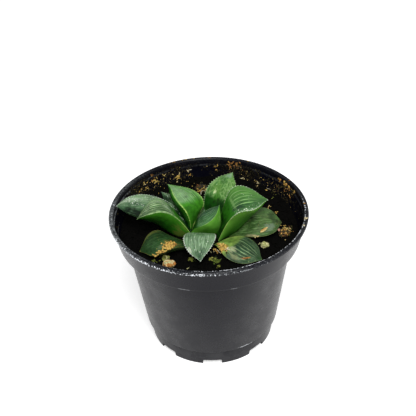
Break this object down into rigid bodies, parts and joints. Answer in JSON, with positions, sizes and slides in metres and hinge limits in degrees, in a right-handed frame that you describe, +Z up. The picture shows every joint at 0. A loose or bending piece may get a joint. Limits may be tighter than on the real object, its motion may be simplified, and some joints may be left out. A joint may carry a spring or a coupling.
{
  "type": "potted haworthia",
  "caption": "Small succulent rosette with recurved pointed leaves, growing low in dark soil in a tapered black nursery pot with a collar and notched foot.",
  "frame": {"origin": "centre of the pot's foot on the ground plane", "axes": "+Z up along the pot's axis; -Y towards the front leaf, the side that the picture shows"},
  "size_m": [0.089, 0.089, 0.0748],
  "materials": {
    "pot_plastic": "satin, moulded",
    "potting_soil": "rough, crumbly",
    "stem_tissue": "matt",
    "green_leaf": "satin, waxy skin",
    "old_leaf": "dull, waxy skin",
    "pumice": "rough",
    "bark": "rough, fibrous"
  },
  "bodies": {
    "root": {"pot": "pot_plastic", "soil": "potting_soil", "stem": "stem_tissue", "leaf_inner": "green_leaf", "leaf_centre": "green_leaf", "leaf_back_right": "green_leaf", "leaf_right": "green_leaf", "leaf_back_left": "green_leaf", "leaf_left": "green_leaf", "leaf_front": "green_leaf", "leaf_far_left": "green_leaf", "leaf_back_left_small": "green_leaf", "leaf_back": "green_leaf", "leaf_old_right": "old_leaf", "leaf_old_back_right": "old_leaf", "leaf_old_front_right": "old_leaf", "leaf_old_front_left": "old_leaf", "pumice_stone": "pumice", "pumice_crumb_left": "pumice", "pumice_crumb_right": "pumice", "bark_chip_right": "bark", "bark_chip_back": "bark"}
  },
  "joints": []
}
